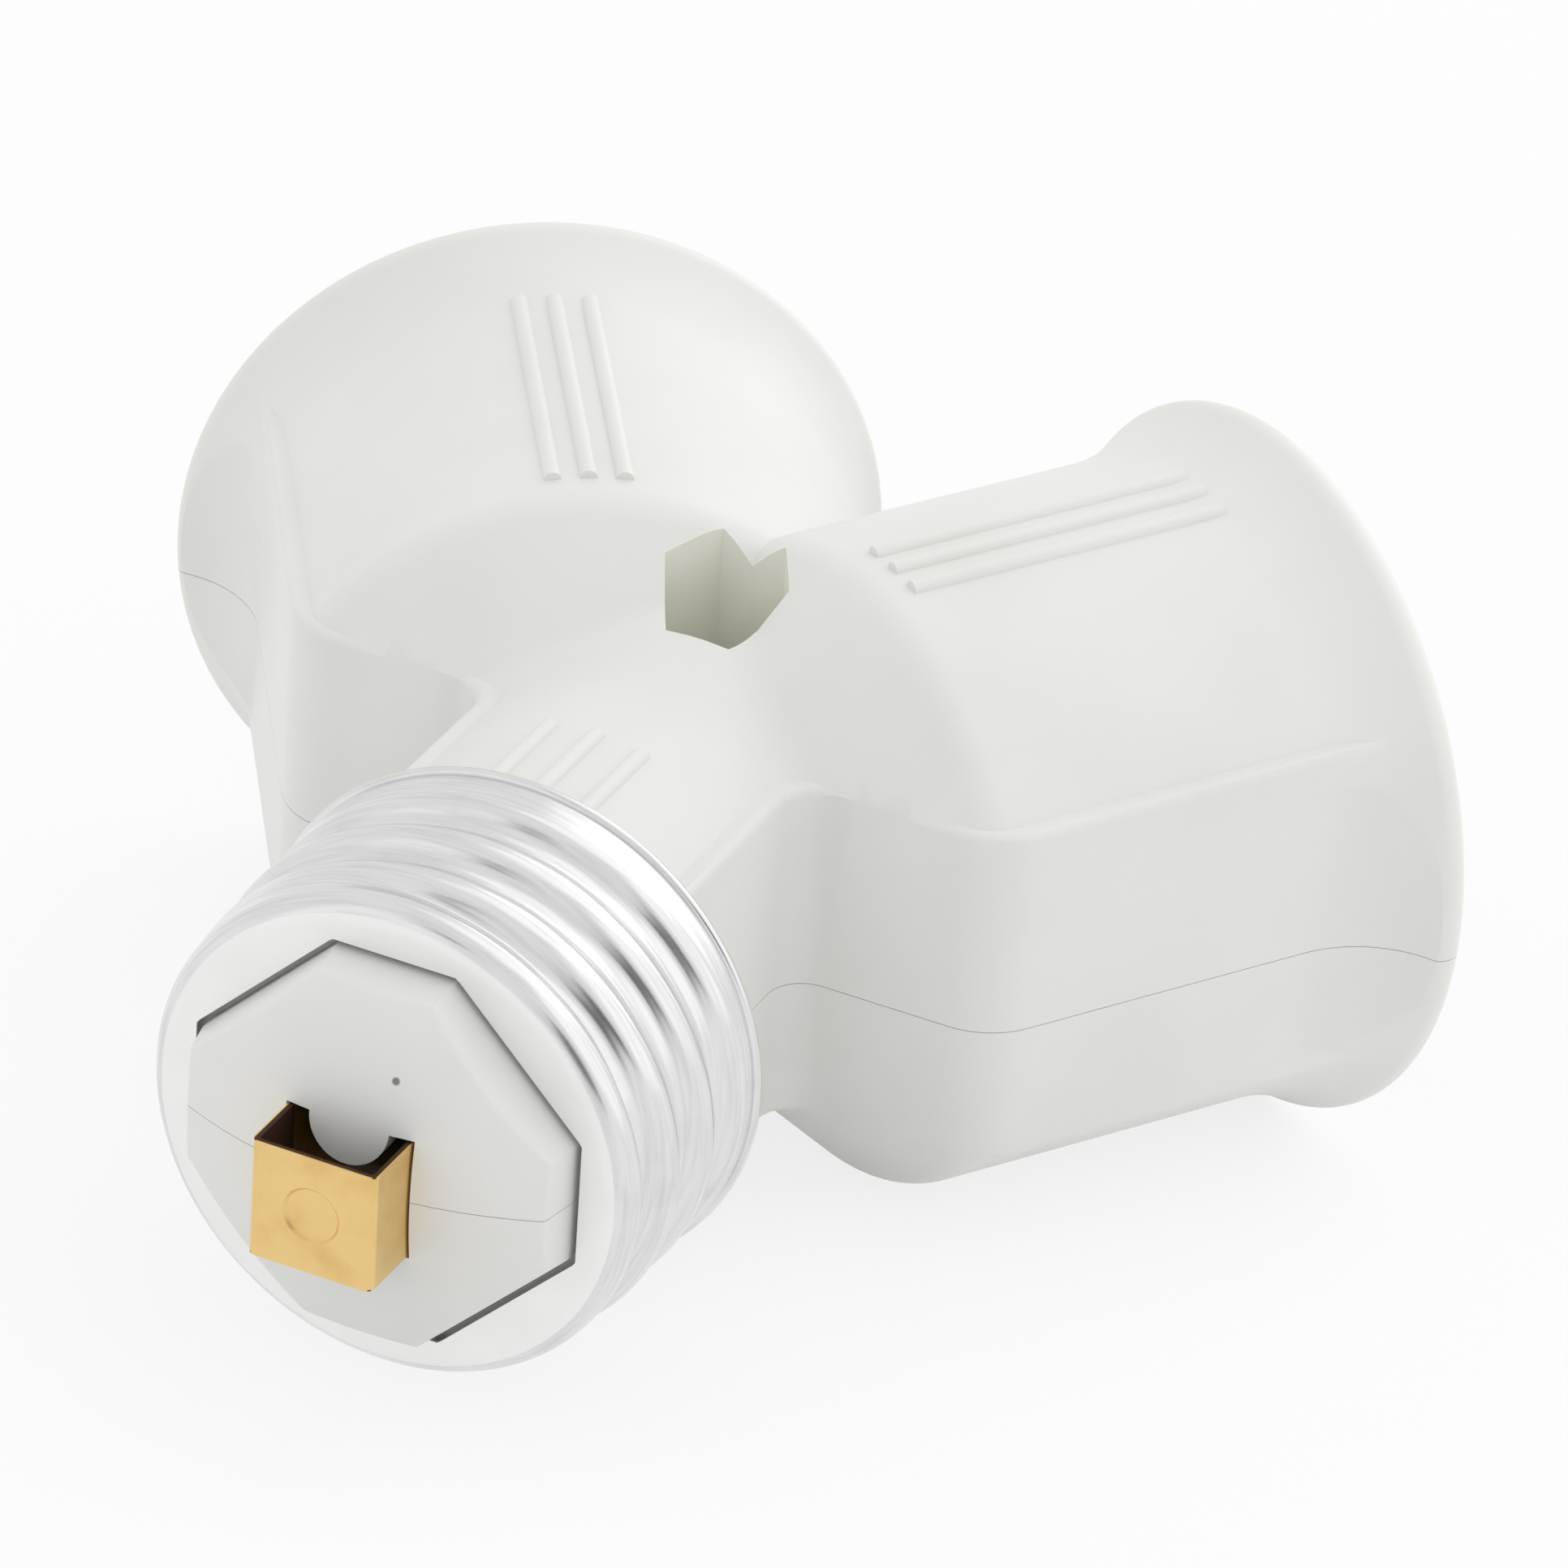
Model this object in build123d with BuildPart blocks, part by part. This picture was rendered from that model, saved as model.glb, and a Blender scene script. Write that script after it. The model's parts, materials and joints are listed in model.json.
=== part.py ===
from build123d import *
import os
from math import atan, cos, degrees, radians, sin, sqrt, tan

# A Y-shaped lamp socket adapter: one E27 screw cap at the foot, two flared E27 sockets at the arms.
# Sizes are in millimetres. Distances along the neck count from the point where the three axes cross.
# It lies on its two socket rims and the edge of its cap, so the plane of the Y leans a little.

# Arms
arm_angle = 33.0
arm_radius = 16.3
arm_length = 38.5
cone_edge = 13.3
cone_angle = 45.0
cone_round = 2.5
cone_start = 4.0
flare_length = 7.0
rim_radius = 18.1
lip_round = 1.0

# Flat side walls of the Y
ridge_height = 9.3
ridge_round = 0.5
arm_flat = 14.4
neck_flat = 8.4
shoulder = 3.3
inner_corner_round = 2.0
outer_corner_round = 4.0
flat_blend = 6.0

# Neck, plug and octagonal nose
neck_radius = 11.9
neck_root_round = 2.5
neck_root_room = 2.9
plug_relief = 0.8
cap_front = 22.4
cap_back = 9.4
nose_across = 19.8
nose_edge = 6.3
nose_rise = 4.2
nose_taper = 10.0
nose_dome = 22.3
nose_round = 0.4

# Grip ribs
rib_radius = 0.45
rib_sink = 0.05
arm_rib_step = 6.3
arm_rib_setback = 1.9
arm_rib_run_out = 1.5
neck_rib_step = 2.5
neck_rib_end = 2.0

# Parting of the two housing halves
seam_drop = 1.8
seam_gap = 0.04

# Sheet metal and fits
sheet = 0.3
strip = 0.3
loose = 0.1
snug = 0.05

# Screw cap shell
thread_pitch = 3.63
thread_depth = 0.95
thread_turns = 3
crest_radius = 13.1
front_round = 0.9
rim_height = 0.25
nose_gap = 0.35

# Sockets
socket_radius = 13.35
socket_depth = 16.5
floor_depth = 21.5
floor_thickness = 2.2
mouth_lip = 1.9
mouth_grip = 0.15
mouth_chamfer = 1.0
recess_radius = 10.0

# Chamber in the neck and the channels behind the socket floors
chamber_half_width = 6.2
chamber_half_height = 6.5
chamber_wall = 1.4
chamber_end = 3.5
channel_inner = -0.8
channel_outer = 4.6

# Contact strip
bridge_front = 29.75
bridge_width = 6.6
bridge_height = 6.35
bridge_bend = 0.3
leg_bend = 3.0
leg_offset = 3.5
leg_stop = 0.4
dimple_radius = 1.5
dimple_depth = 0.15
dimple_taper = 45.0
lug_radius = 2.1
lug_depth = 1.5

# Contact springs
spring_sheet = 0.3
spring_width = 5.0
spring_bend = 0.6
spring_foot = 3.2
spring_rise = 1.2
spring_turn = 75.0
spring_length = 7.5
spring_travel = 10.0

# Neutral strip
neutral_stem = 5.0
neutral_stem_front = 14.6
neutral_tab_half = 1.5
neutral_tab_back = 10.8
neutral_branch_inner = -0.5
neutral_branch_outer = 3.3
neutral_tail = 7.0

# Housing screw and nut
screw_place = 11.6
screw_radius = 1.5
screw_head_radius = 2.8
screw_head_height = 2.0
screw_head_bevel = 0.5
screw_seat = 8.0
screw_slot_width = 0.8
screw_slot_length = 3.4
screw_slot_depth = 1.0
nut_across = 5.5
nut_height = 2.4
nut_seat = 3.0
nut_room = 0.2
screw_tip = 0.3

# Worked-out sizes
reach = 100.0
arm_sin = sin(radians(arm_angle))
arm_cos = cos(radians(arm_angle))
lip_circle = rim_radius - lip_round
lip_place = arm_length - lip_round
flare_start = arm_length - flare_length
flare_run = lip_place - flare_start
flare_step = arm_radius - lip_circle
flare_round = (flare_run**2 + flare_step**2 - lip_round**2) / (2 * (lip_round - flare_step))
flare_share = lip_round / (flare_round + lip_round)
flare_end_place = lip_place + (flare_start - lip_place) * flare_share
flare_end_radius = lip_circle + (arm_radius + flare_round - lip_circle) * flare_share
cone_slope = tan(radians(cone_angle))
cone_apex = arm_radius - cone_edge * cone_slope
valley_rise = (cone_slope * arm_cos) ** 2 - arm_sin**2
valley_half = cone_apex * cone_slope * arm_cos
valley_root = sqrt(valley_half**2 + valley_rise * (neck_radius**2 - cone_apex**2))
valley_place = (valley_root - valley_half) / valley_rise
neck_end = min(valley_place - neck_root_room, screw_place - nut_across / 4)
root_radius = crest_radius - thread_depth
plug_radius = root_radius - sheet - loose
flange_back = cap_front - sheet
plug_front = flange_back - plug_relief
nose_half = nose_across / 2
floor_front = arm_length - floor_depth
floor_back = floor_front - floor_thickness
shell_back = arm_length - socket_depth
shell_front = arm_length - mouth_lip
leg_end = floor_front - leg_stop
neutral_tail_end = shell_back + neutral_tail
seat_radius = socket_radius + sheet + snug
seam_step = (plug_front + cap_back) / 2

# The plane of the Y leans until both rims and the front edge of the cap touch the surface below.
thread_front = cap_front - front_round
thread_back = thread_front - thread_turns * thread_pitch
support_run = lip_place * arm_cos + thread_front
side_share = (lip_circle * arm_sin) ** 2
lean_square = support_run**2 - side_share
cap_circle = crest_radius - front_round + (front_round - lip_round)
lean_root = sqrt((support_run * cap_circle) ** 2 + lean_square * (lip_circle**2 - cap_circle**2))
lean = atan((lean_root - support_run * cap_circle) / lean_square)
lean_up = thread_front * sin(lean) + (crest_radius - front_round) * cos(lean) + front_round
rim_reach = lip_circle * sqrt((arm_sin * cos(lean)) ** 2 + sin(lean) ** 2) + lip_round
back_reach = lip_place * arm_cos * cos(lean) + rim_reach
front_reach = bridge_front * cos(lean) + bridge_height / 2 * sin(lean)
mid = Plane(
    origin=(0, (front_reach - back_reach) / 2, lean_up),
    x_dir=(1, 0, 0),
    z_dir=(0, -sin(lean), cos(lean)),
)
upright = Plane(origin=mid.origin, x_dir=mid.y_dir, z_dir=mid.x_dir)


def square_to_neck(place):
    """Plane square to the neck axis, facing the cap, at a distance ahead of the crossing."""
    centre = mid.from_local_coords(Vector(0, -place, 0))
    return Plane(origin=centre, x_dir=mid.x_dir, z_dir=-mid.y_dir)


def along_arm(side):
    """Direction of one arm, out of its mouth; side is 1 for the right arm and -1 for the left."""
    return mid.x_dir * (side * arm_sin) + mid.y_dir * arm_cos


def arm_plan(side, height=0.0):
    """Plane of the Y turned so that its X runs along one arm."""
    return Plane(origin=mid.origin, x_dir=along_arm(side), z_dir=mid.z_dir).offset(height)


def arm_section(side, across=0.0):
    """Upright plane along one arm: X along the arm, Y up, moved outwards by a distance."""
    outward = mid.x_dir * (side * arm_cos) - mid.y_dir * arm_sin
    facing = along_arm(side).cross(mid.z_dir)
    return Plane(origin=mid.origin + outward * across, x_dir=along_arm(side), z_dir=facing)


def square_to_arm(side, place):
    """Plane square to one arm, facing out of its mouth, with X up."""
    return Plane(origin=mid.origin + along_arm(side) * place, x_dir=mid.z_dir, z_dir=along_arm(side))


def arm_point(side, place, outwards):
    """Point of the plan at a distance along one arm and a distance outwards from its axis."""
    across = place * arm_sin + outwards * arm_cos
    return (side * across, place * arm_cos - outwards * arm_sin)


def outward_span(side, inner, outer):
    """Middle and width, in arm_plan's Y, of a strip between two distances outwards."""
    return -side * (inner + outer) / 2, outer - inner


def arm_block(side, places, outwards, heights, mode=Mode.ADD):
    """Block in an arm's own directions, inside the part that is being built."""
    middle, width = outward_span(side, *outwards)
    with BuildSketch(arm_plan(side, heights[0])) as base:
        with Locations(((places[0] + places[1]) / 2, middle)):
            Rectangle(places[1] - places[0], width)
    extrude(base.sketch, amount=heights[1] - heights[0], mode=mode)


def nose_outline(clearance=0.0):
    """Octagon of the nose, long edges on the slants."""
    edge = nose_edge / 2 + clearance * tan(radians(22.5))
    half = nose_half + clearance
    right = [(half, -edge), (half, edge), (edge, half)]
    left = [(-edge, half), (-half, edge), (-half, -edge)]
    return Polygon(*right, *left, (-edge, -half), (edge, -half), align=None)


# Side walls: the plan of the Y with upright flats and a narrow ledge above and below
crossing_corner = (neck_flat, shoulder)
flat_start = (shoulder + arm_flat * arm_sin) / arm_cos
outer_corner = arm_point(1, flat_start, arm_flat)
wall_outline = [
    (0, -cap_back),
    (neck_flat, -cap_back),
    crossing_corner,
    outer_corner,
    arm_point(1, lip_place, arm_flat),
    arm_point(1, lip_place, 0),
    (0, screw_place),
]


def round_plan_corners(plan):
    """Rounds the four corners of a plan of the Y that show on its side walls."""
    for corner, radius in ((crossing_corner, inner_corner_round), (outer_corner, outer_corner_round)):
        for side in (1, -1):
            spot = (side * corner[0], corner[1], 0)
            fillet(plan.vertices().sort_by_distance(spot)[0], radius=radius)


with BuildPart() as side_walls:
    with BuildSketch(mid.offset(-ridge_height)) as wall_plan:
        with BuildLine():
            Polyline(*wall_outline)
            mirror(about=Plane.YZ)
        make_face()
        round_plan_corners(wall_plan)
    extrude(amount=2 * ridge_height)
    wall_faces = side_walls.faces().sort_by(Axis(mid.origin, mid.z_dir))
    fillet(wall_faces[0].edges() + wall_faces[-1].edges(), radius=ridge_round)

# Nose: an octagonal block that tapers in front of the cap, with a domed face
with BuildPart() as nose:
    with BuildSketch(square_to_neck(plug_front - sheet)):
        nose_outline()
    extrude(amount=cap_front - plug_front + sheet)
    with BuildSketch(square_to_neck(cap_front)):
        nose_outline()
    extrude(amount=nose_rise, taper=nose_taper)
    with Locations(square_to_neck(cap_front + nose_rise - nose_dome)):
        Sphere(nose_dome, mode=Mode.INTERSECT)
    dome_face = nose.faces().filter_by(GeomType.SPHERE)[0]
    fillet(dome_face.edges(), radius=nose_round)

# Housing before it is parted: the outer form, then its hollows
with BuildPart() as housing:
    for side in (1, -1):
        with BuildSketch(arm_section(side)):
            with BuildLine():
                cone_foot = cone_apex + cone_start * cone_slope
                back = FilletPolyline(
                    (cone_start, 0),
                    (cone_start, cone_foot),
                    (cone_edge, arm_radius),
                    (flare_start, arm_radius),
                    radius=cone_round,
                )
                flare = TangentArc(back @ 1, (flare_end_place, flare_end_radius), tangent=back % 1)
                lip = TangentArc(flare @ 1, (arm_length, lip_circle), tangent=flare % 1)
                Polyline(lip @ 1, (arm_length, 0), (cone_start, 0))
            make_face()
        revolve(axis=Axis(mid.origin, along_arm(side)))
    with BuildSketch(square_to_neck(cap_back)):
        Circle(neck_radius)
    extrude(amount=-(cap_back + neck_end))
    neck_side = housing.faces().filter_by(GeomType.CYLINDER).sort_by_distance(mid.origin)[0]
    fillet(neck_side.edges().filter_by(GeomType.BSPLINE), radius=neck_root_round)

    # The round forms are cut back to the flats, which sweep out into the flare
    with BuildSketch(mid.offset(-reach / 2)) as trim_plan:
        with BuildLine():
            Polyline(*wall_outline[:4], arm_point(1, flare_start, arm_flat))
            blend_end = arm_point(1, flare_start + flat_blend, arm_flat + flat_blend)
            arm_heading = (arm_sin, arm_cos)
            TangentArc(arm_point(1, flare_start, arm_flat), blend_end, tangent=arm_heading)
            Polyline(blend_end, arm_point(1, reach, arm_flat + flat_blend), (0, reach))
            mirror(about=Plane.YZ)
        make_face()
        round_plan_corners(trim_plan)
    extrude(amount=reach, mode=Mode.INTERSECT)
    add(side_walls.part)

    # Plug inside the cap shell, and the nose in front of it
    with BuildSketch(square_to_neck(cap_back - sheet)):
        Circle(plug_radius)
    extrude(amount=plug_front - cap_back + sheet)
    add(nose.part)

    # Three grip ribs on top of each arm and of the neck
    arm_rib_start = cone_edge + arm_rib_setback
    arm_rib_end = flare_start + arm_rib_run_out
    for side in (1, -1):
        with BuildSketch(square_to_arm(side, arm_rib_start)):
            with PolarLocations(arm_radius - rib_sink, 3, -arm_rib_step, 2 * arm_rib_step, endpoint=True):
                Circle(rib_radius)
        extrude(amount=arm_rib_end - arm_rib_start)
    neck_rib_turn = degrees(neck_rib_step / neck_radius)
    with BuildSketch(square_to_neck(cap_back)):
        with PolarLocations(neck_radius - rib_sink, 3, 90 - neck_rib_turn, 2 * neck_rib_turn, endpoint=True):
            Circle(rib_radius)
    extrude(amount=neck_rib_end - cap_back)

    # Sockets: mouth, seat of the screw shell, recess down to the floor
    for side in (1, -1):
        with BuildSketch(arm_section(side)):
            mouth_radius = seat_radius - mouth_grip
            Polygon(
                (floor_front, 0),
                (floor_front, recess_radius),
                (shell_back - snug, recess_radius),
                (shell_back - snug, seat_radius),
                (shell_front + snug, seat_radius),
                (shell_front + snug, mouth_radius),
                (arm_length - mouth_chamfer, mouth_radius),
                (arm_length, mouth_radius + mouth_chamfer),
                (arm_length, 0),
                align=None,
            )
        revolve(axis=Axis(mid.origin, along_arm(side)), mode=Mode.SUBTRACT)

    # Chamber in the neck, the window for the bridge, and a channel to each socket floor
    chamber_front = plug_front - chamber_wall
    with BuildSketch(square_to_neck(-chamber_end)):
        Rectangle(2 * chamber_half_width, 2 * chamber_half_height)
    extrude(amount=chamber_front + chamber_end, mode=Mode.SUBTRACT)
    window_width = bridge_width + 2 * loose
    window_height = bridge_height + 2 * loose
    lug_back = cap_front + nose_rise - lug_depth
    with BuildSketch(square_to_neck(chamber_front)):
        Rectangle(window_width, window_height)
    extrude(amount=lug_back - chamber_front, mode=Mode.SUBTRACT)
    with BuildSketch(square_to_neck(lug_back)):
        Rectangle(window_width, window_height)
        with Locations((0, window_height / 2), (0, -window_height / 2)):
            Circle(lug_radius, mode=Mode.SUBTRACT)
    extrude(amount=2 * lug_depth, mode=Mode.SUBTRACT)
    chamber_heights = (-chamber_half_height, chamber_half_height)
    slot_height = bridge_height / 2 + loose
    spring_swing = spring_foot * tan(radians(spring_travel))
    foot_inner = leg_offset + strip / 2 + snug
    slot_outer = foot_inner + spring_sheet + spring_swing + loose
    slot_inner = leg_offset - strip / 2 - loose
    branch_slot = (neutral_branch_inner - 3 * loose, neutral_branch_outer + 3 * loose)
    tail_top = -(seat_radius + snug)
    tail_bottom = tail_top - strip
    drop_back = floor_back - 2 * strip + loose
    for side in (1, -1):
        arm_block(side, (0, floor_back), (channel_inner, channel_outer), chamber_heights, Mode.SUBTRACT)
        floor_span = (floor_back - loose, floor_front + loose)
        arm_block(side, floor_span, (slot_inner, slot_outer), (-slot_height, slot_height), Mode.SUBTRACT)
        drop_heights = (tail_bottom - loose, -recess_radius)
        tail_span = (drop_back - loose, neutral_tail_end + loose)
        arm_block(side, tail_span, branch_slot, drop_heights, Mode.SUBTRACT)
        riser_heights = (-recess_radius - loose, -chamber_half_height + loose)
        arm_block(side, (drop_back - loose, floor_back), branch_slot, riser_heights, Mode.SUBTRACT)

    # Way for the neutral strip out of the plug, under the cap shell
    tab_top = -(plug_radius - strip - loose)
    tab_way = 2 * (neutral_tab_half + loose)
    with BuildSketch(square_to_neck(neutral_tab_back - loose)):
        with Locations((0, tab_top - reach / 4 + loose)):
            Rectangle(tab_way, reach / 2)
    extrude(amount=neutral_stem_front + 2 * loose - neutral_tab_back, mode=Mode.SUBTRACT)
    with BuildSketch(square_to_neck(neutral_stem_front - strip - 2 * loose)):
        with Locations((0, -chamber_half_height)):
            Rectangle(tab_way, 2 * chamber_half_height, align=(Align.CENTER, Align.MAX))
    extrude(amount=strip + 3 * loose, mode=Mode.SUBTRACT)

    # Hex pocket above, screw hole through, counterbore below
    with BuildSketch(mid.offset(nut_seat)):
        with Locations((0, screw_place)):
            RegularPolygon(nut_across / 2 + nut_room, 6, major_radius=False)
    extrude(amount=reach, mode=Mode.SUBTRACT)
    with BuildSketch(mid.offset(-screw_seat)):
        with Locations((0, screw_place)):
            Circle(screw_radius + loose)
    extrude(amount=screw_seat + nut_seat, mode=Mode.SUBTRACT)
    with BuildSketch(mid.offset(-screw_seat)):
        with Locations((0, screw_place)):
            Circle(screw_head_radius + 2 * loose)
    extrude(amount=-reach, mode=Mode.SUBTRACT)


def parting_side(gap, far):
    """Profile, seen from the side, of the space beyond the stepped parting surface."""
    steps = [(-reach, gap), (-seam_step, gap), (-seam_step, gap - seam_drop), (reach, gap - seam_drop)]
    return Polygon(*steps, (reach, far), (-reach, far), align=None)


with BuildPart() as upper_housing:
    add(housing.part)
    with BuildSketch(upright):
        parting_side(seam_gap / 2, -reach)
    extrude(amount=reach, both=True, mode=Mode.SUBTRACT)

with BuildPart() as lower_housing:
    add(housing.part)
    with BuildSketch(upright):
        parting_side(-seam_gap / 2, reach)
    extrude(amount=reach, both=True, mode=Mode.SUBTRACT)

# Screw cap shell: thin sheet rolled into a round thread, with a flange in front and a rim behind


def rolled_wall():
    """Outer points of the rolled wall, crest to crest: flat crests and roots with slanted flanks."""
    points = [(-thread_front, crest_radius)]
    for step in range(4 * thread_turns):
        dip = thread_depth if step % 4 in (1, 2) else 0.0
        points.append(((step / 4 + 1 / 8) * thread_pitch - thread_front, crest_radius - dip))
    return [*points, (-thread_back, crest_radius)]


with BuildPart() as cap_screw_shell:
    with BuildSketch(upright):
        with BuildLine():
            flange_inner = nose_half / 2
            flange_edge = crest_radius - front_round
            Polyline((-flange_back, flange_inner), (-cap_front, flange_inner), (-cap_front, flange_edge))
            TangentArc((-cap_front, flange_edge), (-thread_front, crest_radius), tangent=(0, 1))
            Polyline(
                *rolled_wall(),
                (-cap_back - sheet, crest_radius),
                (-cap_back - sheet, crest_radius + rim_height),
                (-cap_back, crest_radius + rim_height),
                (-cap_back, root_radius - sheet),
                (-flange_back, root_radius - sheet),
                (-flange_back, flange_inner),
            )
        make_face()
    revolve(axis=Axis(mid.origin, mid.y_dir))
    with BuildSketch(square_to_neck(flange_back - sheet)):
        nose_outline(nose_gap)
    extrude(amount=3 * sheet, mode=Mode.SUBTRACT)

# Contact strip: one brass strip folded into a bridge, its two legs running to the socket floors
with BuildPart() as contact_strip:
    leg_half = (bridge_width - strip) / 2
    leg_turn = (leg_half * arm_cos - leg_offset) / arm_sin
    with BuildLine(mid) as strip_path:
        FilletPolyline(
            arm_point(-1, leg_end, leg_offset),
            (-leg_half, leg_turn),
            (-leg_half, strip / 2 - bridge_front),
            (leg_half, strip / 2 - bridge_front),
            (leg_half, leg_turn),
            arm_point(1, leg_end, leg_offset),
            radius=[leg_bend, bridge_bend, bridge_bend, leg_bend],
        )
    with BuildSketch(Plane(origin=strip_path.line @ 0, x_dir=mid.z_dir, z_dir=strip_path.line % 0)):
        Rectangle(bridge_height, strip)
    sweep()
    with BuildSketch(square_to_neck(bridge_front)):
        Circle(dimple_radius)
    extrude(amount=-dimple_depth, taper=dimple_taper, mode=Mode.SUBTRACT)


def contact_spring(side):
    """Sprung tongue of one socket: a foot beside the strip's leg, a fold, and a tongue across the axis."""
    foot_line = foot_inner + spring_sheet / 2
    fold = floor_front + spring_rise
    tip_place = fold + spring_length * cos(radians(spring_turn))
    tip_line = foot_line - spring_length * sin(radians(spring_turn))
    with BuildPart() as spring:
        with BuildLine(arm_plan(side)) as spring_path:
            FilletPolyline(
                (fold - spring_foot, -side * foot_line),
                (fold, -side * foot_line),
                (tip_place, -side * tip_line),
                radius=spring_bend,
            )
        with BuildSketch(Plane(origin=spring_path.line @ 0, x_dir=mid.z_dir, z_dir=spring_path.line % 0)):
            Rectangle(spring_width, spring_sheet)
        sweep()
    return spring


def socket_shell(side):
    """Screw shell of one socket: a thin sleeve with its inner edge turned in against the housing."""
    with BuildPart() as shell:
        with BuildSketch(arm_section(side)):
            Polygon(
                (shell_back, recess_radius),
                (shell_back, socket_radius + sheet),
                (shell_front, socket_radius + sheet),
                (shell_front, socket_radius),
                (shell_back + sheet, socket_radius),
                (shell_back + sheet, recess_radius),
                align=None,
            )
        revolve(axis=Axis(mid.origin, along_arm(side)))
    return shell


left_contact_spring = contact_spring(-1)
right_contact_spring = contact_spring(1)
left_socket_shell = socket_shell(-1)
right_socket_shell = socket_shell(1)

# Neutral strip: a stamped Y on the chamber floor, folded down under the cap shell and the socket shells
with BuildPart() as neutral_strip:
    flat_heights = (snug - chamber_half_height, snug - chamber_half_height + strip)
    branch = (neutral_branch_inner, neutral_branch_outer)
    with BuildSketch(mid.offset(flat_heights[0])):
        with Locations((0, -neutral_stem_front)):
            Rectangle(neutral_stem, neutral_stem_front, align=(Align.CENTER, Align.MIN))
    extrude(amount=strip)
    for side in (1, -1):
        arm_block(side, (0, drop_back + strip), branch, flat_heights)
        arm_block(side, (drop_back, drop_back + strip), branch, (tail_bottom, flat_heights[1]))
        arm_block(side, (drop_back, neutral_tail_end), branch, (tail_bottom, tail_top))
    with BuildSketch(upright):
        Polygon(
            (-neutral_stem_front, flat_heights[1]),
            (-neutral_stem_front, tab_top - strip),
            (-neutral_tab_back, tab_top - strip),
            (-neutral_tab_back, tab_top),
            (strip - neutral_stem_front, tab_top),
            (strip - neutral_stem_front, flat_heights[1]),
            align=None,
        )
    extrude(amount=neutral_tab_half, both=True)

# Housing screw, put in from below, and its nut at the bottom of the hex pocket
with BuildPart() as housing_screw:
    with BuildSketch(mid.offset(-screw_seat)):
        with Locations((0, screw_place)):
            Circle(screw_head_radius)
    extrude(amount=-screw_head_height)
    head_face = housing_screw.faces().sort_by(Axis(mid.origin, mid.z_dir))[0]
    chamfer(head_face.edges(), length=screw_head_bevel)
    with BuildSketch(mid.offset(-screw_seat)):
        with Locations((0, screw_place)):
            Circle(screw_radius)
    extrude(amount=screw_seat + nut_seat + nut_height + screw_tip)
    with BuildSketch(mid.offset(-screw_seat - screw_head_height)):
        with Locations((0, screw_place)):
            Rectangle(screw_slot_length, screw_slot_width)
            Rectangle(screw_slot_width, screw_slot_length)
    extrude(amount=screw_slot_depth, mode=Mode.SUBTRACT)

with BuildPart() as housing_nut:
    with BuildSketch(mid.offset(nut_seat)):
        with Locations((0, screw_place)):
            RegularPolygon(nut_across / 2, 6, major_radius=False)
            Circle(screw_radius + snug, mode=Mode.SUBTRACT)
    extrude(amount=nut_height)

# Finished pieces
os.makedirs("parts", exist_ok=True)
upper_housing.part.label = "upper_housing"
export_step(upper_housing.part, "parts/upper_housing.step")
lower_housing.part.label = "lower_housing"
export_step(lower_housing.part, "parts/lower_housing.step")
cap_screw_shell.part.label = "cap_screw_shell"
export_step(cap_screw_shell.part, "parts/cap_screw_shell.step")
contact_strip.part.label = "contact_strip"
export_step(contact_strip.part, "parts/contact_strip.step")
left_contact_spring.part.label = "left_contact_spring"
export_step(left_contact_spring.part, "parts/left_contact_spring.step")
right_contact_spring.part.label = "right_contact_spring"
export_step(right_contact_spring.part, "parts/right_contact_spring.step")
left_socket_shell.part.label = "left_socket_shell"
export_step(left_socket_shell.part, "parts/left_socket_shell.step")
right_socket_shell.part.label = "right_socket_shell"
export_step(right_socket_shell.part, "parts/right_socket_shell.step")
neutral_strip.part.label = "neutral_strip"
export_step(neutral_strip.part, "parts/neutral_strip.step")
housing_screw.part.label = "housing_screw"
export_step(housing_screw.part, "parts/housing_screw.step")
housing_nut.part.label = "housing_nut"
export_step(housing_nut.part, "parts/housing_nut.step")
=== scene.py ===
"""Dressed scene of a Y-shaped lamp socket adapter.

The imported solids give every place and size. Smoothed copies of the moulded and stamped pieces carry
the finishes, and the rolled screw threads of the cap and of both sockets are worked out here as
surfaces. Lengths are millimetres on the adapter and metres in the studio, unless a name says so.
"""

from __future__ import annotations

import json
import logging
import math
from dataclasses import dataclass
from enum import Enum
from typing import Any

import bmesh
import bpy
import numpy as np
from mathutils import Matrix, Vector

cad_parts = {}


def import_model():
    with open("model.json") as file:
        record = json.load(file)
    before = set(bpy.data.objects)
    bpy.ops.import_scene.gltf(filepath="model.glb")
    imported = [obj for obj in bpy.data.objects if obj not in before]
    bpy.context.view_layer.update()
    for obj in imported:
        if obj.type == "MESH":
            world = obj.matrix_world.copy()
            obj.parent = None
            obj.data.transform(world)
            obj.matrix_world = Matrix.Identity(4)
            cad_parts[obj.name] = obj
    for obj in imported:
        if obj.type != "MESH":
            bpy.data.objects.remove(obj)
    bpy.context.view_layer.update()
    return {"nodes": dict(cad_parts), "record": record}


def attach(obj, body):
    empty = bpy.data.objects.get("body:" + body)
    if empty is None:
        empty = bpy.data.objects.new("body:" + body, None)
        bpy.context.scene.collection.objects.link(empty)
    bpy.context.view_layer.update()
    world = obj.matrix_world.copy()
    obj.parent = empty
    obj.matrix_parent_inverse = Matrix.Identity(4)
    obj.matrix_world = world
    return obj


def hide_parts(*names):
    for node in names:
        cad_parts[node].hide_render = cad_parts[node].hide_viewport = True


LOG = logging.getLogger("lamp_socket_adapter")
MM = 0.001
MERGE_MM = 0.001
SOLID_CORNER_DEG = 32.0
THREAD_CORNER_DEG = 40.0
PHOTO_SIDE_PX = 1932
RAYS_THAT_SEE = ("Camera", "Glossy", "Transmission")

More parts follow.
